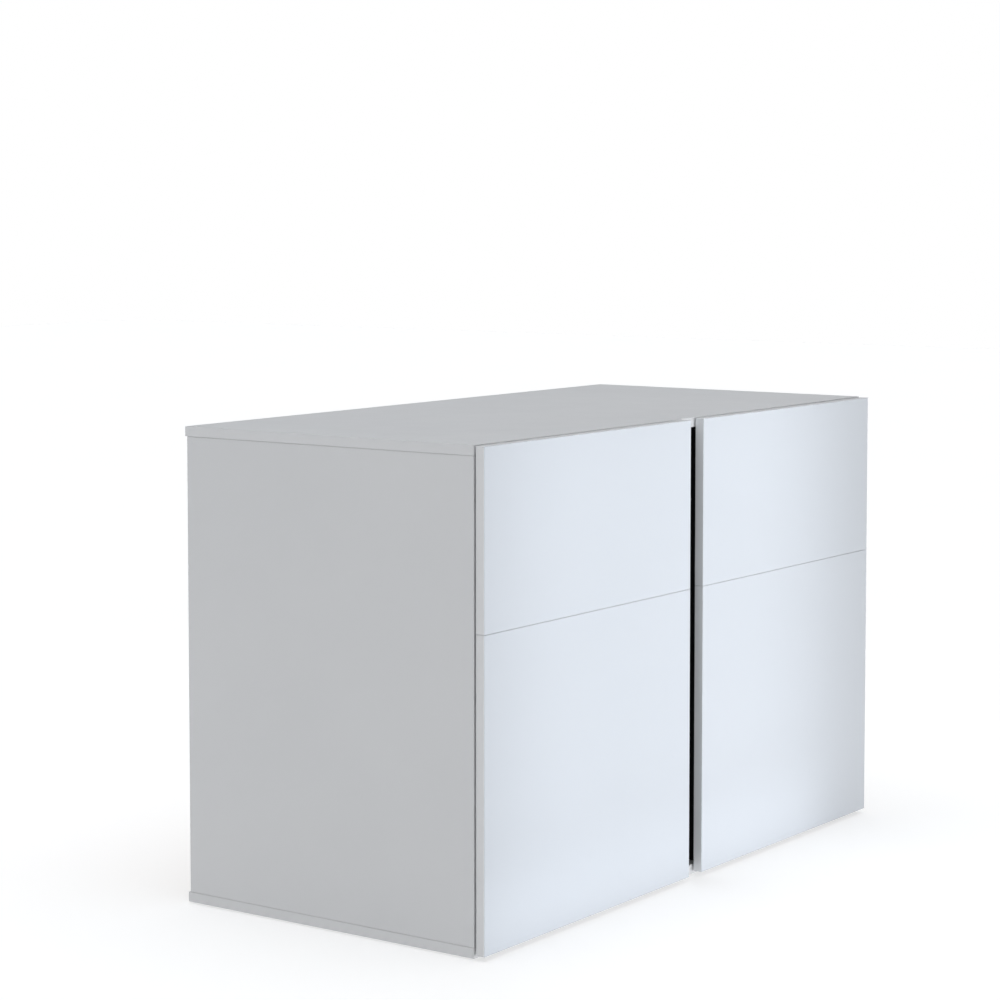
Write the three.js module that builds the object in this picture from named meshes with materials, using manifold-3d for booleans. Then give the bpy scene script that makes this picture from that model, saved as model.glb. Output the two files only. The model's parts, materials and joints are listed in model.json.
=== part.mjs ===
// Aquarium stand cabinet: a 16 mm board carcass on glides, with a centre divider, a fixed middle
// shelf on each side and four side-hung overlay doors. The doors have no handles: they are opened
// by their free edges, which meet over a black finger-grip channel in the middle of the front.
//
// Millimetres, +Z up, front towards -Y, +X to the right as seen from the front.
// Origin: the middle of the footprint, on the floor under the glides.

import * as THREE from 'three';
import { mergeVertices } from 'three/addons/utils/BufferGeometryUtils.js';
import Module from 'manifold-3d';

const wasm = await Module();
wasm.setup();

// ---------------------------------------------------------------- driving dimensions

const WIDTH = 1200;
const DEPTH = 585; // door fronts to the rear edges of the top and bottom boards
const HEIGHT = 769; // floor to the top face of the top board
const BOARD = 16; // thickness of every laminated board
const FIT = 0.3; // clearance left between pieces that touch

const GLIDE_HEIGHT = 3;
const GLIDE_RADIUS = 15;
const GLIDE_X = 560;
const GLIDE_Y = { front: -240, rear: 255 };

const DOOR_THICKNESS = 16;
const DOOR_CHAMFER = { hinged: 1.5, free: 0.5 }; // on the upright edges, front and back
const DOOR_WIDTH = 580;
const DOOR_Z = { upper: [489.2, 767.5], lower: [8.5, 488.8] };
const DOOR_GAP = 3; // between the door backs and the carcass front

const SHELF_Z = 489; // middle of the shelf, behind the line where upper and lower doors meet
const SHELF_REAR_SPACE = 60; // hose passage behind each shelf
const SIDE_INSET_REAR = 4; // the boards above and below run past the sides by this much
const BACK_THICKNESS = 3;
const BACK_OVERLAP = 8; // how far the back covers a side panel's rear edge
const BACK_SEAM = 0.6; // from the middle to each back panel's inner edge, behind the divider
const HOSE_NOTCH = { width: 150, height: 60, radius: 12 };

const GRIP = { width: 92, depth: 24, wall: 2, radius: 4 };

// Hinge dimensions are taken from the door's hinged edge (u, inwards across the door), from the
// door's back face (v, into the carcass; negative is into the door) and from the hinge's mid-height.
const PIN = { u: 9, v: -9.5, radius: 1.2, halfLength: 8.8, hole: 1.5 };
const CUP = { u: 21, radius: 17.5, inner: 16.5, depth: 13, floor: 0.7, bore: 17.8, boreDepth: 13.3 };
const FLANGE = { screwU: 30.5, screwZ: 22.5, ear: 6.5, v: [0.3, 1.3] };
const LUG_Z = [5, 8];
const NECK = { halfWidth: 4, v: [-11.2, -8.7], bendU: 20.5, bendRadius: 7.8, top: 12 };
const ARM = { u: [20.3, 28.3], v: [7, 68], halfWidth: 9, wall: 1.2 };
const PLATE = { u: [16.3, 18.3], v: [10, 71], halfWidth: 9, wingV: [30, 50], wingZ: 24, screwZ: 16 };
const HINGE_Z = { upper: { top: 690, bottom: 568 }, lower: { top: 390, bottom: 106 } };

const BUMPER = { radius: 3.2, inset: 40 };
const BUMPER_Z = { upper: { top: 761, bottom: 493.5 }, lower: { top: 484.5, bottom: 13.5 } };

// ---------------------------------------------------------------- derived positions

const FRONT = -DEPTH / 2;
const DOOR_BACK = FRONT + DOOR_THICKNESS;
const CASE_FRONT = DOOR_BACK + DOOR_GAP;
const CASE_REAR = DEPTH / 2;
const SIDE_REAR = CASE_REAR - SIDE_INSET_REAR;
const SIDE_INNER = WIDTH / 2 - BOARD;
const FLOOR_TOP = GLIDE_HEIGHT + BOARD; // upper face of the bottom board
const CEILING = HEIGHT - BOARD; // lower face of the top board
const INSIDE_Z = [FLOOR_TOP + FIT, CEILING - FIT];
const GRIP_BACK = CASE_FRONT + GRIP.depth;
const SIDES = { left: -1, right: 1 };

// ---------------------------------------------------------------- materials

const LOOKS = {
  gloss: { color: 0xe4ebf3, roughness: 0.12, metalness: 0 },
  laminate: { color: 0xc9c9cb, roughness: 0.45, metalness: 0 },
  hardboard: { color: 0xd8d6d0, roughness: 0.7, metalness: 0 },
  grip: { color: 0x0b0b0c, roughness: 0.4, metalness: 0.6 },
  steel: { color: 0xb9bbbd, roughness: 0.3, metalness: 1 },
  glide: { color: 0x2a2a2b, roughness: 0.6, metalness: 0 },
  bumper: { color: 0xdfe3e6, roughness: 0.35, metalness: 0 },
};

// ---------------------------------------------------------------- shape helpers

const group = new THREE.Group();

function addPiece(parent, name, geometry, look) {
  const mesh = new THREE.Mesh(geometry, new THREE.MeshStandardMaterial(LOOKS[look]));
  mesh.name = name;
  parent.add(mesh);
  return mesh;
}

function toSolid(geometry) {
  const bare = geometry.clone();
  bare.deleteAttribute('normal');
  bare.deleteAttribute('uv');
  const merged = mergeVertices(bare, 1e-4);
  return new wasm.Manifold(
    new wasm.Mesh({
      numProp: 3,
      vertProperties: new Float32Array(merged.attributes.position.array),
      triVerts: new Uint32Array(merged.index.array),
    }),
  );
}

function toGeometry(solid) {
  const mesh = solid.getMesh();
  const geometry = new THREE.BufferGeometry();
  geometry.setAttribute('position', new THREE.BufferAttribute(new Float32Array(mesh.vertProperties), 3));
  geometry.setIndex(new THREE.BufferAttribute(new Uint32Array(mesh.triVerts), 1));
  geometry.computeVertexNormals();
  return geometry;
}

const join = (...shapes) => shapes.map(toSolid).reduce((a, b) => a.add(b));
const cut = (solid, ...shapes) => shapes.map(toSolid).reduce((a, b) => a.subtract(b), solid);

function block([x0, x1], [y0, y1], [z0, z1]) {
  const geometry = new THREE.BoxGeometry(Math.abs(x1 - x0), Math.abs(y1 - y0), Math.abs(z1 - z0));
  return geometry.translate((x0 + x1) / 2, (y0 + y1) / 2, (z0 + z1) / 2);
}

// An outline drawn in the XY plane and extruded from z0 to z1.
function upright(points, [z0, z1]) {
  const shape = new THREE.Shape(points.map(([x, y]) => new THREE.Vector2(x, y)));
  const geometry = new THREE.ExtrudeGeometry(shape, { depth: z1 - z0, bevelEnabled: false });
  return geometry.translate(0, 0, z0);
}

// A round rod along one axis, from lo to hi; (a, b) is its centre on the other two axes, in order.
function rod(axis, radius, [lo, hi], [a, b], segments = 16) {
  const geometry = new THREE.CylinderGeometry(radius, radius, hi - lo, segments);
  const mid = (lo + hi) / 2;
  if (axis === 'x') return geometry.rotateZ(Math.PI / 2).translate(mid, a, b);
  if (axis === 'y') return geometry.translate(a, mid, b);
  return geometry.rotateX(Math.PI / 2).translate(a, b, mid);
}

// Outlines are drawn on the +X side; k is 1 there and -1 for the mirrored one.
const mirror = (points, k) => points.map(([x, y]) => [k * x, y]);

const ordered = (a, b) => [Math.min(a, b), Math.max(a, b)];

// Points on an arc, from one angle to another in degrees.
function arc(cx, cy, radius, from, to, steps) {
  const points = [];
  for (let i = 0; i <= steps; i++) {
    const angle = THREE.MathUtils.degToRad(from + ((to - from) * i) / steps);
    points.push([cx + radius * Math.cos(angle), cy + radius * Math.sin(angle)]);
  }
  return points;
}

// ---------------------------------------------------------------- carcass

function addBoards() {
  const x = [-WIDTH / 2, WIDTH / 2];
  const y = [CASE_FRONT, CASE_REAR];
  addPiece(group, 'top_board', block(x, y, [CEILING, HEIGHT]), 'laminate');
  addPiece(group, 'bottom_board', block(x, y, [GLIDE_HEIGHT, FLOOR_TOP]), 'laminate');
  const halfBoard = [-BOARD / 2, BOARD / 2];
  addPiece(group, 'centre_divider', block(halfBoard, [GRIP_BACK + FIT, SIDE_REAR], INSIDE_Z), 'laminate');
  for (const [name, side] of Object.entries(SIDES)) {
    const panel = block([side * SIDE_INNER, (side * WIDTH) / 2], [CASE_FRONT, SIDE_REAR], INSIDE_Z);
    addPiece(group, `${name}_side_panel`, panel, 'laminate');
  }
}

// Each shelf is notched at its front inner corner, where the grip channel passes.
function addShelf(name, side) {
  const outer = SIDE_INNER - FIT;
  const inner = BOARD / 2 + FIT;
  const notchX = GRIP.width / 2 + FIT;
  const notchY = GRIP_BACK + FIT;
  const rear = SIDE_REAR - SHELF_REAR_SPACE;
  const outline = [
    [outer, CASE_FRONT], [notchX, CASE_FRONT], [notchX, notchY],
    [inner, notchY], [inner, rear], [outer, rear],
  ];
  const shelf = upright(mirror(outline, side), [SHELF_Z - BOARD / 2, SHELF_Z + BOARD / 2]);
  addPiece(group, `${name}_shelf`, shelf, 'laminate');
}

// A thin panel behind the side and the divider, with a hose notch in the middle of its top edge.
function addBackPanel(name, side) {
  const [bottom, top] = INSIDE_Z;
  const inner = BACK_SEAM;
  const outer = SIDE_INNER + BACK_OVERLAP;
  const { width, height, radius } = HOSE_NOTCH;
  const notchInner = (inner + outer - width) / 2;
  const notchOuter = notchInner + width;
  const arcZ = top - height + radius;
  const outline = [
    [inner, bottom], [outer, bottom], [outer, top], [notchOuter, top],
    ...arc(notchOuter - radius, arcZ, radius, 0, -90, 5),
    ...arc(notchInner + radius, arcZ, radius, -90, -180, 5),
    [notchInner, top], [inner, top],
  ];
  const panel = upright(mirror(outline, side), [0, BACK_THICKNESS]);
  panel.rotateX(Math.PI / 2).translate(0, SIDE_REAR + FIT + BACK_THICKNESS, 0);
  addPiece(group, `${name}_back_panel`, panel, 'hardboard');
}

// A U-shaped profile, open to the front, that the fingers reach into behind the door edges.
function addGripChannel() {
  const { width, wall, radius } = GRIP;
  const half = width / 2;
  const inner = half - wall;
  const innerRadius = radius - wall;
  const outline = [
    [-half, CASE_FRONT],
    ...arc(-half + radius, GRIP_BACK - radius, radius, 180, 90, 4),
    ...arc(half - radius, GRIP_BACK - radius, radius, 90, 0, 4),
    [half, CASE_FRONT], [inner, CASE_FRONT],
    ...arc(inner - innerRadius, GRIP_BACK - radius, innerRadius, 0, 90, 4),
    ...arc(-inner + innerRadius, GRIP_BACK - radius, innerRadius, 90, 180, 4),
    [-inner, CASE_FRONT],
  ];
  addPiece(group, 'grip_channel', upright(outline, INSIDE_Z), 'grip');
}

function addGlides() {
  const top = GLIDE_HEIGHT - FIT;
  const profile = [[0, 0], [12, 0], [14.2, 0.7], [GLIDE_RADIUS, top], [0, top]];
  for (const [row, y] of Object.entries(GLIDE_Y)) {
    for (const [column, x] of Object.entries({ left: -GLIDE_X, centre: 0, right: GLIDE_X })) {
      const glide = new THREE.LatheGeometry(profile.map(([r, z]) => new THREE.Vector2(r, z)), 24);
      glide.rotateX(Math.PI / 2);
      addPiece(group, `${row}_${column}_glide`, glide, 'glide').position.set(x, y, 0);
    }
  }
}

// ---------------------------------------------------------------- doors

// The cup bores are drilled into the back of the door, close to its hinged edge.
function addDoor(level, sideName, side) {
  const [z0, z1] = DOOR_Z[level];
  const h = DOOR_CHAMFER.hinged;
  const f = DOOR_CHAMFER.free;
  const hinged = WIDTH / 2;
  const free = hinged - DOOR_WIDTH;
  const outline = [
    [hinged, FRONT + h], [hinged - h, FRONT], [free + f, FRONT], [free, FRONT + f],
    [free, DOOR_BACK - f], [free + f, DOOR_BACK], [hinged - h, DOOR_BACK], [hinged, DOOR_BACK - h],
  ];
  const bores = Object.values(HINGE_Z[level]).map((z) =>
    rod('y', CUP.bore, [DOOR_BACK - CUP.boreDepth, DOOR_BACK + 2], [side * (hinged - CUP.u), z], 32),
  );
  const door = cut(toSolid(upright(mirror(outline, side), [z0, z1])), ...bores);
  addPiece(group, `${level}_${sideName}_door`, toGeometry(door), 'gloss');
}

function addBumpers(level, sideName, side) {
  const { radius, inset } = BUMPER;
  const thickness = DOOR_GAP - 2 * FIT;
  const profile = [
    [0, 0], [radius, 0], [radius, thickness * 0.55], [radius * 0.8, thickness * 0.9],
    [radius * 0.4, thickness], [0, thickness],
  ];
  const x = side * (WIDTH / 2 - DOOR_WIDTH + inset);
  for (const [end, z] of Object.entries(BUMPER_Z[level])) {
    const bumper = new THREE.LatheGeometry(profile.map(([r, y]) => new THREE.Vector2(r, y)), 16);
    const name = `${level}_${sideName}_door_${end}_bumper`;
    addPiece(group, name, bumper, 'bumper').position.set(x, DOOR_BACK + FIT, z);
  }
}

// ---------------------------------------------------------------- hinges

// Every hinge piece is drawn for a hinge on the door's edge at x = 0; k mirrors it for the right.

function hingeCup(k) {
  const { u, radius, inner, depth, floor } = CUP;
  const { screwU, screwZ, ear } = FLANGE;
  const outline = [
    [15, -17], [21, -20], ...arc(screwU, -screwZ, ear, -165, -15, 8), [39.4, -15],
    [39.4, 15], ...arc(screwU, screwZ, ear, 15, 165, 8), [21, 20], [15, 17],
  ];
  const flange = upright(mirror(outline, k), [0, FLANGE.v[1] - FLANGE.v[0]]);
  flange.rotateX(Math.PI / 2).translate(0, FLANGE.v[1], 0);
  const shell = rod('y', radius, [-depth, FLANGE.v[0] + 0.1], [k * u, 0], 32);
  const well = rod('y', inner, [-depth + floor, 5], [k * u, 0], 32);
  const screws = [-1, 1].map((s) => rod('y', 2.2, [-2, 5], [k * screwU, s * screwZ], 12));
  const lugOutline = [
    [5.6, -depth + floor / 2], [13.5, -depth + floor / 2], [13.5, -9.6],
    [11.4, -6.7], [7, -6.7], [5.6, -8.4],
  ];
  const pinHole = rod('z', PIN.hole, [-12, 12], [k * PIN.u, PIN.v], 16);
  let cup = cut(join(shell, flange), well, ...screws);
  for (const s of [-1, 1]) {
    const span = ordered(s * LUG_Z[0], s * LUG_Z[1]);
    cup = cup.add(cut(toSolid(upright(mirror(lugOutline, k), span)), pinHole));
  }
  return cup;
}

const hingePin = (k) =>
  toSolid(rod('z', PIN.radius, [-PIN.halfLength, PIN.halfLength], [k * PIN.u, PIN.v], 12));

// The arm: an eye on the pin, a gooseneck out of the cup, and a channel clipped over the plate.
function hingeArm(k) {
  const { halfWidth, v, bendU, bendRadius, top } = NECK;
  const thickness = v[1] - v[0];
  const bendV = v[0] + bendRadius;
  const neckOutline = [
    [PIN.u, v[1]], [PIN.u, v[0]],
    ...arc(bendU, bendV, bendRadius, -90, 0, 8), [bendU + bendRadius, top],
    [bendU + bendRadius - thickness, top],
    ...arc(bendU, bendV, bendRadius - thickness, 0, -90, 8),
  ];
  const neck = upright(mirror(neckOutline, k), [-halfWidth, halfWidth]);
  const eye = rod('z', 2.4, [-halfWidth, halfWidth], [k * PIN.u, PIN.v], 20);
  const body = block([k * ARM.u[0], k * ARM.u[1]], ARM.v, [-ARM.halfWidth, ARM.halfWidth]);
  const inside = ARM.halfWidth - ARM.wall;
  const hollow = block(
    [k * (ARM.u[0] - 5), k * (ARM.u[1] - ARM.wall)], [ARM.v[0] - 5, ARM.v[1] + 5], [-inside, inside],
  );
  const adjuster = rod('x', 3, ordered(k * 20, k * 35), [28, 0], 16);
  const slot = block([k * 20, k * 35], [46, 58], [-2.6, 2.6]);
  const channel = cut(toSolid(body), hollow, adjuster, slot);
  const pinHole = rod('z', PIN.hole, [-12, 12], [k * PIN.u, PIN.v], 16);
  return cut(channel.add(join(neck, eye)), pinHole);
}

// The mounting plate: a base with two round-ended wings that are screwed to the side panel, and a
// ridge inside the arm.
function hingePlate(k) {
  const { u, v, halfWidth, wingV, wingZ, screwZ } = PLATE;
  const base = block([k * u[0], k * u[1]], v, [-halfWidth, halfWidth]);
  const wingRadius = (wingV[1] - wingV[0]) / 2;
  const roundZ = wingZ - wingRadius;
  const wings = block([k * u[0], k * u[1]], wingV, [-roundZ, roundZ]);
  const ridge = block([k * (u[1] - 0.5), k * (ARM.u[1] - ARM.wall - FIT)], [15, 66], [-6.5, 6.5]);
  const midV = (wingV[0] + wingV[1]) / 2;
  const ends = [-1, 1].map((s) =>
    rod('x', wingRadius, ordered(k * u[0], k * u[1]), [midV, s * roundZ], 24),
  );
  const screws = [-1, 1].map((s) => rod('x', 2.8, ordered(k * 10, k * 30), [midV, s * screwZ], 16));
  return cut(join(base, wings, ...ends, ridge), ...screws);
}

function addHinges(level, sideName, side) {
  const k = -side;
  const pieces = { cup: hingeCup, pin: hingePin, arm: hingeArm, plate: hingePlate };
  for (const [end, z] of Object.entries(HINGE_Z[level])) {
    const hinge = new THREE.Group();
    hinge.position.set((side * WIDTH) / 2, DOOR_BACK, z);
    group.add(hinge);
    for (const [piece, make] of Object.entries(pieces)) {
      const name = `${level}_${sideName}_door_${end}_hinge_${piece}`;
      addPiece(hinge, name, toGeometry(make(k)), 'steel');
    }
  }
}

// ---------------------------------------------------------------- assembly

addBoards();
addGripChannel();
addGlides();
for (const [sideName, side] of Object.entries(SIDES)) {
  addShelf(sideName, side);
  addBackPanel(sideName, side);
  for (const level of ['upper', 'lower']) {
    addDoor(level, sideName, side);
    addBumpers(level, sideName, side);
    addHinges(level, sideName, side);
  }
}

export default group;
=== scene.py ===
"""Looks of the aquarium stand cabinet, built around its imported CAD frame. Metres, +Z up."""

import json
import math

import bmesh
import bpy
from mathutils import Matrix, Vector

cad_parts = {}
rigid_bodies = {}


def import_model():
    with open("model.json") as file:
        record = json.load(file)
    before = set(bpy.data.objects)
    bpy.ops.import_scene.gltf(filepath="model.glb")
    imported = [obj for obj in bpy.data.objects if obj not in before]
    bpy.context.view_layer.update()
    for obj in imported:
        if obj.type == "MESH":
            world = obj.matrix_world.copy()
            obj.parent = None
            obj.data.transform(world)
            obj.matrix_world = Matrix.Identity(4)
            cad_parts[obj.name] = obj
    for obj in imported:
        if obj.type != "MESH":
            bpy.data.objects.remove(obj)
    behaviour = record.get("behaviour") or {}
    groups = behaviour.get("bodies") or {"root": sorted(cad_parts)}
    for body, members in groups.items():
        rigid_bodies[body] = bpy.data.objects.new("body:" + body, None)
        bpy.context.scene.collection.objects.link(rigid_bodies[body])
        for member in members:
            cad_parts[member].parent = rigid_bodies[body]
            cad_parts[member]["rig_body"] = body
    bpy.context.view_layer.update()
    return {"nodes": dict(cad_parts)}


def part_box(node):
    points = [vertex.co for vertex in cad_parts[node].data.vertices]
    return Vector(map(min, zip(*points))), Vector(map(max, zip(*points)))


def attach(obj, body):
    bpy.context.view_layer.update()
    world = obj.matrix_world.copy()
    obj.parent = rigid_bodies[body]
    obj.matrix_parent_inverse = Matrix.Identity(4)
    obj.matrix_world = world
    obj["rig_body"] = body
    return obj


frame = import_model()
nodes = frame["nodes"]

DOORS = [f"{level}_{side}_door" for level in ("upper", "lower") for side in ("left", "right")]
LAMINATE = [n for n in nodes if n.endswith(("_board", "_side_panel", "_shelf", "_divider"))]


def rgb(r, g, b):
    return (r, g, b, 1.0)


# ---------------------------------------------------------------- sizes, colours and strengths

STRIP = 0.0008  # thickness of the edge strips on boards and doors
STRIP_BLEND = 0.0001  # the board's colour turns into the strip's over this distance
# Each of these pairs is where something is full, and where it has ended.
GLUE_LINE = (0.00006, 0.00014)  # from the middle of the line beside a strip
SKIN = (0.0003, 0.0006)  # depth of a door's lacquer, and of the foil on its back
PAINT = (0.0002, 0.0004)  # depth of the white paint on the inside of the back panels
PAINTED_LIGHT_EDGE_SPAN = (0.02, 0.03)  # from the cabinet's middle plane: where the strips of the free edges are painted whiter, as painted light
HANDLED = (0.02, 0.11)  # from the cabinet's middle plane: finger marks

NOISE_SPAN = (0.3, 0.7)  # the values that most noise lies between
SCREEN_PITCH = math.tau / 0.0022  # the hardboard's screen print repeats every 2.2 mm

# Linear colours. A pair is the two ends of a surface's slight unevenness.
LACQUER = (rgb(0.654, 0.70, 0.76), rgb(0.668, 0.711, 0.77))
DOOR_BACK = rgb(0.74, 0.742, 0.748)
DOOR_STRIP = rgb(0.735, 0.74, 0.75)
# Painted light: the strips of the free edges are painted whiter than the strips of the hinge edges.
PAINTED_LIGHT_STRIP = rgb(0.83, 0.85, 0.87)
DOOR_GLUE = rgb(0.55, 0.57, 0.60)
MELAMINE = (rgb(0.678, 0.686, 0.698), rgb(0.700, 0.707, 0.717))
BOARD_STRIP = rgb(0.708, 0.715, 0.726)
BOARD_GLUE = rgb(0.52, 0.51, 0.50)
FIBRE = (rgb(0.20, 0.118, 0.066), rgb(0.325, 0.205, 0.122))
FIBRE_PATCH = rgb(0.40, 0.27, 0.17)
INNER_PAINT = rgb(0.77, 0.765, 0.75)
ANODISED = (rgb(0.009, 0.009, 0.010), rgb(0.016, 0.016, 0.017))

WELD_REACH = 0.00001  # points closer than this become one
FLAT_ANGLE = math.radians(0.5)  # faces closer to one plane than this are joined
SHARP_ANGLE = math.radians(28)  # edges sharper than this are rounded
DOOR_BEVEL = 0.0003
BOARD_BEVEL = 0.0004
METAL_BEVEL = 0.00015
BUMPER_BEVEL = 0.0002

SMOOTH_ANGLE = math.radians(32)  # the fasteners are shaded smooth below this
GOLDEN_ANGLE = 2.4  # turn from one driver recess to the next, so that no two stand alike
PIN_ACROSS = 0.009  # a hinge pin's distance from the door's edge, and from the door's back face
PIN_BACK = -0.0095
# Places on a hinge: across from the door's edge, back from its back face, and above and below
# the pin.
FLANGE_SCREW = (0.0305, 0.0013, 0.0225)
PLATE_SCREW = (0.0183, 0.040, 0.016)
SIDE_ADJUSTER = (0.0275, 0.028, 0.0)
DEPTH_ADJUSTER = (0.0283, 0.052, 0.0)

CAM_RADIUS = 0.0075
CAM_INSET = 0.034  # from the joint that a cam pulls together
CAM_DEPTHS = (-0.18, 0.02, 0.22)  # the rows of cams, from front to back
OUTSIDE = 0.59  # board faces further out than this are outside the cabinet
NAIL_RADIUS = 0.0019
NAIL_COUNT = 8  # along each upright edge of a back panel
NAIL_EDGE = 0.004  # from a panel's upright edges
NAIL_INSET = 0.03  # from a panel's ends to its first and last nail
GRIP_WALL = 0.002  # thickness of the grip channel
GRIP_SCREWS = 4
GRIP_INSET = 0.06  # from the channel's ends to its first and last screw

FLOOR_SIZE = 30.0
PAPER = (rgb(0.60, 0.60, 0.60), rgb(0.62, 0.62, 0.62))
FLOOR_GLOW = 0.46
# The sine of the elevation where a glow starts and where it is full, and its strength.
HORIZON = (0.20, 0.03, 0.95)
CEILING = (0.6, 0.97, 2.37)
ROOM_COLOUR = rgb(0.985, 1.0, 1.02)
PLAIN_WHITE = rgb(1.0, 1.0, 1.0)
SOFTBOX_COLOUR = (0.98, 1.0, 1.03)
SOFTBOX_Y = -1.29
# Middle (x, z), size (x, z), spread in degrees, and power in watts.
SOFTBOXES = {
    "front_softbox": ((-0.09, 0.4675), (1.02, 0.925), 34, 1.076),
    "right_softbox": ((0.19, 0.435), (0.44, 0.86), 34, 0.1),
    "low_softbox": ((-0.11, 0.04), (1.06, 0.07), 14, 0.083),
}

LENS = 96.3
SENSOR = 36.0
LENS_SHIFT = -0.12
CAMERA_PLACE = (-3.7589, -2.5675, 1.1258)
CAMERA_TILT = math.radians(86.17)
CAMERA_HEADING = math.radians(-54.58)


# ---------------------------------------------------------------- materials


class Look:
    """A procedural material. Coordinates are the object's own, in metres. Keywords set sockets of
    the shader that are the same all over, with _ for a space."""

    def __init__(self, name, **shader):
        self.material = bpy.data.materials.new(name)
        self.material.use_nodes = True
        self.tree = self.material.node_tree
        self.shader = self.tree.nodes["Principled BSDF"]
        for key, value in shader.items():
            self.shader.inputs[key.replace("_", " ")].default_value = value
        self.place = self.add("ShaderNodeTexCoord").outputs["Object"]

    def add(self, kind, *values, **settings):
        """Adds a node, sets its properties, and links or sets its inputs in order."""
        node = self.tree.nodes.new(kind)
        for key, value in settings.items():
            setattr(node, key, value)
        for socket, value in zip(node.inputs, values):
            self.put(value, socket)
        return node

    def put(self, value, socket):
        """Links the socket to another, or sets it to a plain value. None leaves it alone."""
        if isinstance(value, bpy.types.NodeSocket):
            self.tree.links.new(value, socket)
        elif value is not None:
            socket.default_value = value

    def set(self, name, value):
        self.put(value, self.shader.inputs[name])

    def noise(self, scale, detail=2.0, roughness=0.5, place=None):
        node = self.add("ShaderNodeTexNoise")
        self.put(place or self.place, node.inputs["Vector"])
        self.put(scale, node.inputs["Scale"])
        self.put(detail, node.inputs["Detail"])
        self.put(roughness, node.inputs["Roughness"])
        return node.outputs["Fac"]

    def stretched(self, x, y, z):
        """The coordinates with each axis scaled, so that noise on them is drawn out."""
        return self.vector("MULTIPLY", self.place, (x, y, z))

    def spread(self, value, low, high, to_low=0.0, to_high=1.0):
        """Maps low..high to to_low..to_high, clamped."""
        return self.add("ShaderNodeMapRange", value, low, high, to_low, to_high).outputs[0]

    def math(self, operation, *values):
        return self.add("ShaderNodeMath", *values, operation=operation).outputs[0]

    def vector(self, operation, *values):
        return self.add("ShaderNodeVectorMath", *values, operation=operation).outputs[0]

    def axis(self, vector, index):
        return self.add("ShaderNodeSeparateXYZ", vector).outputs[index]

    def blend(self, amount, a, b):
        node = self.add("ShaderNodeMix", data_type="RGBA")
        self.put(amount, node.inputs[0])
        self.put(a, node.inputs[6])
        self.put(b, node.inputs[7])
        return node.outputs[2]

    def bump(self, height, depth, strength=1.0, under=None):
        node = self.add("ShaderNodeBump")
        self.put(strength, node.inputs["Strength"])
        self.put(depth, node.inputs["Distance"])
        self.put(height, node.inputs["Height"])
        self.put(under, node.inputs["Normal"])
        return node.outputs[0]


def edge_band(look, node, thin_axis):
    """Masks of a board's edge strips: (the glue line beside the strip, the strip itself)."""
    low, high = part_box(node)
    half = (high - low) / 2 - Vector((STRIP,) * 3)
    from_centre = look.vector("SUBTRACT", look.place, (low + high) / 2)
    past = look.vector("SUBTRACT", look.vector("ABSOLUTE", from_centre), half)
    a, b = [look.axis(past, i) for i in range(3) if i != thin_axis]
    nearest = look.math("MINIMUM", look.math("ABSOLUTE", a), look.math("ABSOLUTE", b))
    line = look.spread(nearest, *GLUE_LINE, 1.0, 0.0)
    strip = look.spread(look.math("MAXIMUM", a, b), 0.0, STRIP_BLEND)
    return line, strip


def gloss_look(node):
    """A door: high-gloss bluish white lacquer with orange peel, and handling marks near the free
    edge, satin edge strips, and plain white melamine on the back. The strips of the free edges are
    painted whiter than those at the hinges: painted light."""
    look = Look(f"gloss_{node}", Coat_Roughness=0.03, IOR=1.5)
    line, strip = edge_band(look, node, thin_axis=1)
    front, back = [corner.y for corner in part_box(node)]
    depth = look.axis(look.place, 1)
    lacquer = look.spread(depth, front + SKIN[0], front + SKIN[1], 1.0, 0.0)
    behind = look.spread(depth, back - SKIN[1], back - SKIN[0])
    from_middle = look.math("ABSOLUTE", look.axis(look.place, 0))

    cloud = look.spread(look.noise(scale=2.2, detail=3.0), *NOISE_SPAN)
    base = look.blend(behind, look.blend(cloud, *LACQUER), DOOR_BACK)
    bare_strip = look.math("MULTIPLY", strip, look.math("SUBTRACT", 1.0, lacquer))
    # Painted light: near the middle the strips are painted whiter than the same strips at the
    # hinges.
    strip_colour_and_painted_light = look.blend(look.spread(from_middle, *PAINTED_LIGHT_EDGE_SPAN), PAINTED_LIGHT_STRIP, DOOR_STRIP)
    base = look.blend(bare_strip, base, strip_colour_and_painted_light)
    look.set("Base Color", look.blend(line, base, DOOR_GLUE))
    look.set("Coat Weight", lacquer)

    streaks = look.noise(scale=9.0, detail=6.0, roughness=0.6, place=look.stretched(1.0, 1.0, 0.35))
    wiped = look.spread(streaks, 0.5, 0.75, 0.11, 0.16)
    prints = look.spread(look.noise(scale=60.0, detail=4.0), 0.52, 0.72)
    marks = look.math("MULTIPLY", look.spread(from_middle, *HANDLED, 1.0, 0.0), prints)
    polished = look.math("ADD", wiped, look.math("MULTIPLY", marks, 0.12))
    satin = look.spread(lacquer, 0.0, 1.0, 0.38, 0.0)
    look.set("Roughness", look.math("MAXIMUM", polished, satin))

    peel = look.bump(look.noise(scale=320.0), depth=0.0002, strength=0.06)
    look.set("Normal", look.bump(line, depth=-0.0001, strength=0.5, under=peel))
    return look.material


def laminate_look(node):
    """Satin white melamine with a fine pearl, on a carcass board."""
    low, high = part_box(node)
    size = high - low
    thin_axis = min(range(3), key=lambda i: size[i])
    look = Look(f"laminate_{node}", IOR=1.5)
    line, strip = edge_band(look, node, thin_axis)
    cloud = look.spread(look.noise(scale=3.0, detail=4.0), *NOISE_SPAN)
    base = look.blend(strip, look.blend(cloud, *MELAMINE), BOARD_STRIP)
    look.set("Base Color", look.blend(line, base, BOARD_GLUE))
    satin = look.noise(scale=14.0, detail=6.0, roughness=0.6)
    look.set("Roughness", look.spread(satin, 0.3, 0.75, 0.36, 0.46))
    pearl = look.bump(look.noise(scale=1400.0), depth=0.0001, strength=0.18)
    look.set("Normal", look.bump(line, depth=-0.0001, strength=0.5, under=pearl))
    return look.material


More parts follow.
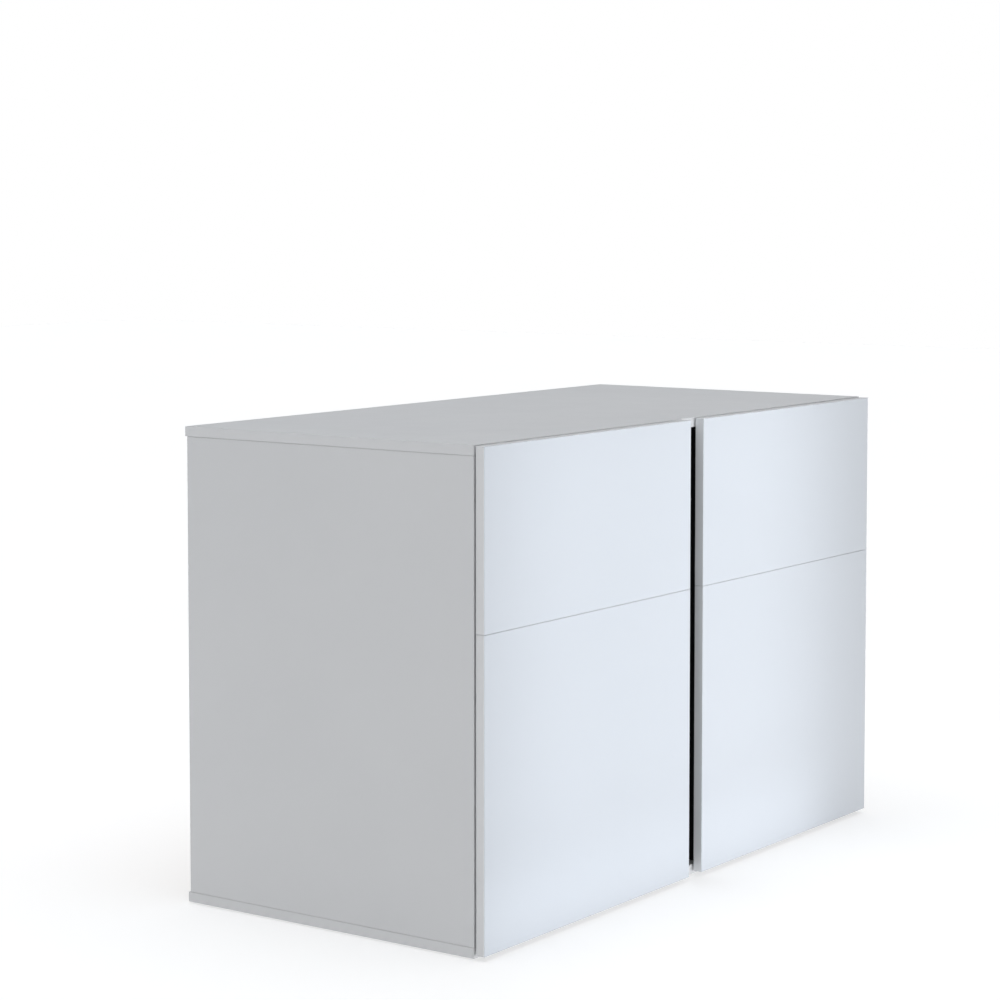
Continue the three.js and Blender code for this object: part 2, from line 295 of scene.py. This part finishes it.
def hardboard_look(node):
    """Thin hardboard: painted white inside, bare brown fibre behind and on its edges, with the fine
    print of the press screen."""
    look = Look("hardboard", IOR=1.45)
    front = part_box(node)[0].y
    depth = look.axis(look.place, 1)
    painted = look.spread(depth, front + PAINT[0], front + PAINT[1], 1.0, 0.0)
    fibre = look.noise(scale=420.0, detail=6.0, roughness=0.7, place=look.stretched(1.0, 1.0, 0.6))
    mottle = look.spread(look.noise(scale=9.0, detail=3.0), 0.35, 0.7, 0.0, 0.12)
    brown = look.blend(look.spread(fibre, *NOISE_SPAN), *FIBRE)
    brown = look.blend(mottle, brown, FIBRE_PATCH)
    across, up = [look.math("MULTIPLY", look.axis(look.place, i), SCREEN_PITCH) for i in (0, 2)]
    screen = look.math("MULTIPLY", look.math("SINE", across), look.math("SINE", up))
    look.set("Base Color", look.blend(painted, brown, INNER_PAINT))
    look.set("Roughness", look.spread(painted, 0.0, 1.0, 0.78, 0.5))
    fuzz = look.bump(fibre, depth=0.0002, strength=0.35)
    look.set("Normal", look.bump(screen, depth=0.0001, strength=0.25, under=fuzz))
    return look.material


def grip_look():
    """Black anodised aluminium, with the faint upright lines of the extrusion."""
    look = Look("black_grip", IOR=1.45)
    drawn = look.noise(scale=900.0, detail=3.0, roughness=0.6, place=look.stretched(1.0, 1.0, 0.004))
    look.set("Base Color", look.blend(look.spread(drawn, *NOISE_SPAN), *ANODISED))
    look.set("Roughness", look.spread(look.noise(scale=1600.0), *NOISE_SPAN, 0.38, 0.52))
    look.set("Normal", look.bump(drawn, depth=0.0001, strength=0.15))
    return look.material


def steel_look(name, light, dark, rough):
    """Nickel- or zinc-plated pressed steel."""
    look = Look(name, Metallic=1.0)
    patch = look.spread(look.noise(scale=70.0, detail=3.0), 0.3, 0.75)
    look.set("Base Color", look.blend(patch, dark, light))
    look.set("Roughness", look.spread(look.noise(scale=1300.0), *NOISE_SPAN, rough, rough + 0.05))
    look.set("Normal", look.bump(look.noise(scale=2200.0, detail=1.0), depth=0.00002, strength=0.08))
    return look.material


def plastic_look(name, low, high, rough, **shader):
    """Moulded plastic with a fine grain."""
    look = Look(name, IOR=1.5, **shader)
    cloud = look.spread(look.noise(scale=90.0, detail=3.0), *NOISE_SPAN)
    look.set("Base Color", look.blend(cloud, low, high))
    grain = look.noise(scale=700.0, detail=3.0)
    look.set("Roughness", look.spread(grain, *NOISE_SPAN, rough, rough + 0.15))
    look.set("Normal", look.bump(look.noise(scale=1200.0), depth=0.0001, strength=0.2))
    return look.material


nickel = steel_look("nickel", rgb(0.66, 0.65, 0.62), rgb(0.61, 0.60, 0.575), rough=0.24)
zinc = steel_look("zinc", rgb(0.58, 0.59, 0.60), rgb(0.50, 0.51, 0.53), rough=0.34)
cam_zinc = steel_look("cam_zinc", rgb(0.36, 0.365, 0.37), rgb(0.29, 0.295, 0.305), rough=0.42)
black_zinc = steel_look("black_zinc", rgb(0.05, 0.05, 0.052), rgb(0.03, 0.03, 0.031), rough=0.4)
glide_plastic = plastic_look(
    "glide_plastic", rgb(0.028, 0.028, 0.03), rgb(0.045, 0.045, 0.047), rough=0.45
)
bumper_soft = plastic_look(
    "bumper_soft",
    rgb(0.80, 0.82, 0.84),
    rgb(0.86, 0.87, 0.88),
    rough=0.2,
    Transmission_Weight=0.6,
)


# ---------------------------------------------------------------- CAD nodes


def finish_node(name, material, bevel):
    """Gives a CAD node its material and a small rounding of its sharp edges."""
    node = nodes[name]
    node.data.materials.clear()
    node.data.materials.append(material)
    weld = node.modifiers.new("weld", "WELD")
    weld.merge_threshold = WELD_REACH
    flat = node.modifiers.new("flat", "DECIMATE")
    flat.decimate_type = "DISSOLVE"
    flat.angle_limit = FLAT_ANGLE
    if bevel:
        edge = node.modifiers.new("rounding", "BEVEL")
        edge.width = bevel
        edge.segments = 3
        edge.angle_limit = SHARP_ANGLE


hardboard = hardboard_look("left_back_panel")
grip = grip_look()
for name in nodes:
    if name in DOORS:
        finish_node(name, gloss_look(name), DOOR_BEVEL)
    elif name in LAMINATE:
        finish_node(name, laminate_look(name), BOARD_BEVEL)
    elif name.endswith("_back_panel"):
        finish_node(name, hardboard, 0)
    elif name == "grip_channel":
        finish_node(name, grip, BOARD_BEVEL)
    elif name.endswith("_glide"):
        finish_node(name, glide_plastic, BOARD_BEVEL)
    elif name.endswith("_bumper"):
        finish_node(name, bumper_soft, BUMPER_BEVEL)
    else:
        finish_node(name, nickel, METAL_BEVEL)


# ---------------------------------------------------------------- screws, cams and nails


def to_mesh(shape):
    bmesh.ops.recalc_face_normals(shape, faces=shape.faces)
    mesh = bpy.data.meshes.new("shape")
    shape.to_mesh(mesh)
    shape.free()
    return mesh


def turned(profile, segments=32):
    """A closed shape turned round +Z, from (radius, height) points. Both ends are on the axis."""
    shape = bmesh.new()
    rings = []
    for radius, height in profile:
        angles = [math.tau * i / segments for i in range(segments if radius else 1)]
        ring = [(radius * math.cos(a), radius * math.sin(a), height) for a in angles]
        rings.append([shape.verts.new(point) for point in ring])
    for low, high in zip(rings, rings[1:]):
        for i in range(segments):
            j = i + 1
            lower = (low[i % len(low)], low[j % len(low)])
            upper = (high[j % len(high)], high[i % len(high)])
            shape.faces.new(list(dict.fromkeys(lower + upper)))
    return to_mesh(shape)


def cross_cutter(reach, half_width, top, bottom, taper):
    """A tapered cross that leaves a driver recess between two heights."""
    shape = bmesh.new()
    corner = [(reach, -half_width), (reach, half_width), (half_width, half_width)]
    outline = []
    for quarter in range(4):
        turn = Matrix.Rotation(math.radians(90 * quarter), 2)
        outline += [turn @ Vector(point) for point in corner]
    upper = [shape.verts.new((x, y, top)) for x, y in outline]
    lower = [shape.verts.new((x * taper, y * taper, bottom)) for x, y in outline]
    shape.faces.new(upper)
    shape.faces.new(lower[::-1])
    for i in range(len(outline)):
        j = (i + 1) % len(outline)
        shape.faces.new((lower[i], lower[j], upper[j], upper[i]))
    return to_mesh(shape)


def carved(mesh, cutter):
    """The mesh with the cutter taken out of it."""
    body, tool = [bpy.data.objects.new("carving", part) for part in (mesh, cutter)]
    for item in (body, tool):
        bpy.context.scene.collection.objects.link(item)
    step = body.modifiers.new("recess", "BOOLEAN")
    step.operation = "DIFFERENCE"
    step.object = tool
    bpy.context.view_layer.update()
    finished = body.evaluated_get(bpy.context.evaluated_depsgraph_get())
    result = bpy.data.meshes.new_from_object(finished)
    for item in (body, tool):
        bpy.data.objects.remove(item)
    return result


def screw_head(radius, height, shaft):
    """A rounded pan head on a short shaft, with a cross recess. Its seat is at height 0."""
    steps = 6
    shaft_radius = radius * 0.45
    seat_radius = radius * 0.94
    crown_radius = radius * 0.62
    rim_top = height * 0.12
    shoulder = height * 0.35
    profile = [(0, -shaft), (shaft_radius, -shaft), (shaft_radius, 0)]
    profile += [(seat_radius, 0), (radius, rim_top)]
    for i in range(steps + 1):
        angle = math.radians(90 * i / steps)
        out = crown_radius + (radius - crown_radius) * math.cos(angle)
        up = shoulder + (height - shoulder) * math.sin(angle)
        profile.append((out, up))
    recess = cross_cutter(
        reach=radius * 0.52,
        half_width=radius * 0.13,
        top=height * 1.5,
        bottom=-height * 0.1,
        taper=0.55,
    )
    return carved(turned(profile + [(0, height)]), recess)


def cam_disc(radius):
    """The face of a cam fitting: a rim, a shallow dish and a cross recess."""
    seat, edge, dish, rim = -0.00005, 0.0001, 0.00012, 0.0002
    profile = [(0, seat), (radius, seat), (radius, edge)]
    profile += [(radius * 0.97, rim), (radius * 0.88, rim), (radius * 0.85, dish)]
    profile += [(radius * 0.5, dish), (radius * 0.46, rim), (0, rim)]
    recess = cross_cutter(
        reach=radius * 0.4,
        half_width=radius * 0.09,
        top=rim * 2,
        bottom=0.00002,
        taper=0.8,
    )
    return carved(turned(profile, segments=40), recess)


def nail_head(radius):
    """A flat, slightly domed head."""
    seat, edge, top = -0.00005, 0.0001, 0.00036
    profile = [(0, seat), (radius, seat), (radius, edge)]
    profile += [(radius * 0.8, 0.00028), (radius * 0.4, 0.00034), (0, top)]
    return turned(profile, segments=20)


def copies(name, mesh, places, material, body):
    """One piece made of copies of a mesh: each place is a point and the way the copy faces."""
    whole = bmesh.new()
    for index, (point, facing) in enumerate(places):
        first = len(whole.verts)
        whole.from_mesh(mesh)
        whole.verts.ensure_lookup_table()
        turn = Vector(facing).to_track_quat("Z", "Y").to_matrix().to_4x4()
        spin = Matrix.Rotation(index * GOLDEN_ANGLE, 4, "Z")
        place = Matrix.Translation(point) @ turn @ spin
        bmesh.ops.transform(whole, matrix=place, verts=whole.verts[first:])
    result = bpy.data.meshes.new(name)
    whole.to_mesh(result)
    whole.free()
    result.polygons.foreach_set("use_smooth", [True] * len(result.polygons))
    result.set_sharp_from_angle(angle=SMOOTH_ANGLE)
    result.materials.append(material)
    piece = bpy.data.objects.new(name, result)
    bpy.context.scene.collection.objects.link(piece)
    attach(piece, body)


def hinge_places(door, spot, faces_back=False):
    """A fastener's places on both hinges of a door, facing inwards unless it faces back."""
    across, back, rise = spot
    places = []
    for end in ("top", "bottom"):
        low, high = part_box(f"{door}_{end}_hinge_pin")
        pin = (low + high) / 2
        inward = -math.copysign(1.0, pin.x)
        facing = (0, 1, 0) if faces_back else (inward, 0, 0)
        for height in (-rise, rise) if rise else (0.0,):
            shift = Vector((inward * (across - PIN_ACROSS), back - PIN_BACK, height))
            places.append((pin + shift, facing))
    return places


def add_hinge_screws():
    """Two screws in each cup flange, two in each plate, and the two adjusters in each arm."""
    flange_screw = screw_head(radius=0.0036, height=0.0012, shaft=0.0012)
    plate_screw = screw_head(radius=0.0042, height=0.0017, shaft=0.0016)
    side_adjuster = screw_head(radius=0.0025, height=0.0010, shaft=0.0006)
    depth_adjuster = screw_head(radius=0.0040, height=0.0018, shaft=0.0012)
    on_cabinet = (
        ("plate_screws", PLATE_SCREW, plate_screw, zinc),
        ("side_adjusters", SIDE_ADJUSTER, side_adjuster, zinc),
        ("depth_adjusters", DEPTH_ADJUSTER, depth_adjuster, nickel),
    )
    for door in DOORS:
        places = hinge_places(door, FLANGE_SCREW, faces_back=True)
        door_body = nodes[door]["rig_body"]
        copies(f"{door}_flange_screws", flange_screw, places, nickel, door_body)
        for kind, spot, head, metal in on_cabinet:
            places = hinge_places(door, spot)
            copies(f"{door}_{kind}", head, places, metal, "cabinet")


def add_cams():
    """Cam fittings beside each board joint: in the sides and the divider, and under the shelves."""
    cam = cam_disc(CAM_RADIUS)
    heights = (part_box("top_board")[0].z - CAM_INSET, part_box("bottom_board")[1].z + CAM_INSET)
    for board in ("left_side_panel", "right_side_panel", "centre_divider"):
        low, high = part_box(board)
        for side, face, way in (("left", low.x, -1), ("right", high.x, 1)):
            if abs(face) < OUTSIDE:
                places = [((face, y, z), (way, 0, 0)) for y in CAM_DEPTHS for z in heights]
                copies(f"{board}_{side}_cams", cam, places, cam_zinc, "cabinet")
    for shelf in ("left_shelf", "right_shelf"):
        low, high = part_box(shelf)
        ends = (low.x + CAM_INSET, high.x - CAM_INSET)
        places = [((x, y, low.z), (0, 0, -1)) for x in ends for y in CAM_DEPTHS[:2]]
        copies(f"{shelf}_cams", cam, places, cam_zinc, "cabinet")


def add_back_nails():
    """Nails through the back panels, into the sides and the divider."""
    nail = nail_head(NAIL_RADIUS)
    for side in ("left", "right"):
        low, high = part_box(f"{side}_back_panel")
        rise = (high.z - low.z - 2 * NAIL_INSET) / (NAIL_COUNT - 1)
        heights = [low.z + NAIL_INSET + rise * i for i in range(NAIL_COUNT)]
        columns = (low.x + NAIL_EDGE, high.x - NAIL_EDGE)
        places = [((x, high.y, z), (0, 1, 0)) for x in columns for z in heights]
        copies(f"{side}_back_nails", nail, places, zinc, "cabinet")


def add_grip_screws():
    """Black screws that hold the grip channel to the divider."""
    low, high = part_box("grip_channel")
    screw = screw_head(radius=0.0036, height=0.0012, shaft=0.0010)
    rise = (high.z - low.z - 2 * GRIP_INSET) / (GRIP_SCREWS - 1)
    heights = [low.z + GRIP_INSET + rise * i for i in range(GRIP_SCREWS)]
    places = [((0.0, high.y - GRIP_WALL, z), (0, -1, 0)) for z in heights]
    copies("grip_channel_screws", screw, places, black_zinc, "cabinet")


add_hinge_screws()
add_cams()
add_back_nails()
add_grip_screws()


# ---------------------------------------------------------------- floor, light and camera


def add_floor():
    """A pale floor that glows a little, so that it runs into the white behind it."""
    bpy.ops.mesh.primitive_plane_add(size=FLOOR_SIZE, location=(0, 0, 0))
    floor = bpy.context.object
    floor.name = "floor"
    look = Look("floor", Roughness=0.9, Emission_Color=PLAIN_WHITE, Emission_Strength=FLOOR_GLOW)
    look.set("Base Color", look.blend(look.noise(scale=1.5), *PAPER))
    floor.data.materials.append(look.material)


def add_softbox(name, middle, size, spread, power):
    """A softbox with a honeycomb grid, upright in front of the doors and facing them."""
    data = bpy.data.lights.new(name, "AREA")
    data.color = SOFTBOX_COLOUR
    data.shape = "RECTANGLE"
    data.size, data.size_y = size
    data.spread = math.radians(spread)
    data.energy = power
    light = bpy.data.objects.new(name, data)
    light.visible_camera = light.visible_glossy = False
    light.location = (middle[0], SOFTBOX_Y, middle[1])
    light.rotation_euler = Vector((0, 1, 0)).to_track_quat("-Z", "Y").to_euler()
    bpy.context.scene.collection.objects.link(light)


def add_room():
    """A soft room, the same all round: a white band at the horizon and a bright ceiling. The camera
    itself sees plain white."""
    world = bpy.data.worlds.new("studio")
    world.use_nodes = True
    tree = world.node_tree
    direction = tree.nodes.new("ShaderNodeTexCoord")
    split = tree.nodes.new("ShaderNodeSeparateXYZ")
    tree.links.new(direction.outputs["Generated"], split.inputs[0])
    total = tree.nodes.new("ShaderNodeMath")
    for slot, (start, full, strength) in enumerate((HORIZON, CEILING)):
        glow = tree.nodes.new("ShaderNodeMapRange")
        glow.interpolation_type = "SMOOTHSTEP"
        tree.links.new(split.outputs["Z"], glow.inputs["Value"])
        glow.inputs["From Min"].default_value = start
        glow.inputs["From Max"].default_value = full
        glow.inputs["To Max"].default_value = strength
        tree.links.new(glow.outputs[0], total.inputs[slot])
    room = tree.nodes["Background"]
    room.inputs["Color"].default_value = ROOM_COLOUR
    tree.links.new(total.outputs[0], room.inputs["Strength"])
    paper = tree.nodes.new("ShaderNodeBackground")
    paper.inputs["Color"].default_value = PLAIN_WHITE
    seen = tree.nodes.new("ShaderNodeMixShader")
    path = tree.nodes.new("ShaderNodeLightPath")
    tree.links.new(path.outputs["Is Camera Ray"], seen.inputs[0])
    tree.links.new(room.outputs[0], seen.inputs[1])
    tree.links.new(paper.outputs[0], seen.inputs[2])
    tree.links.new(seen.outputs[0], tree.nodes["World Output"].inputs["Surface"])
    bpy.context.scene.world = world


def add_camera():
    """The photograph's view: a long lens from the left front, a little above the top board."""
    data = bpy.data.cameras.new("camera")
    data.lens = LENS
    data.sensor_width = SENSOR
    data.shift_y = LENS_SHIFT
    camera = bpy.data.objects.new("camera", data)
    camera.location = CAMERA_PLACE
    camera.rotation_euler = (CAMERA_TILT, 0, CAMERA_HEADING)
    bpy.context.scene.collection.objects.link(camera)
    bpy.context.scene.camera = camera


add_floor()
add_room()
for name, settings in SOFTBOXES.items():
    add_softbox(name, *settings)
add_camera()
bpy.context.scene.view_settings.view_transform = "Standard"
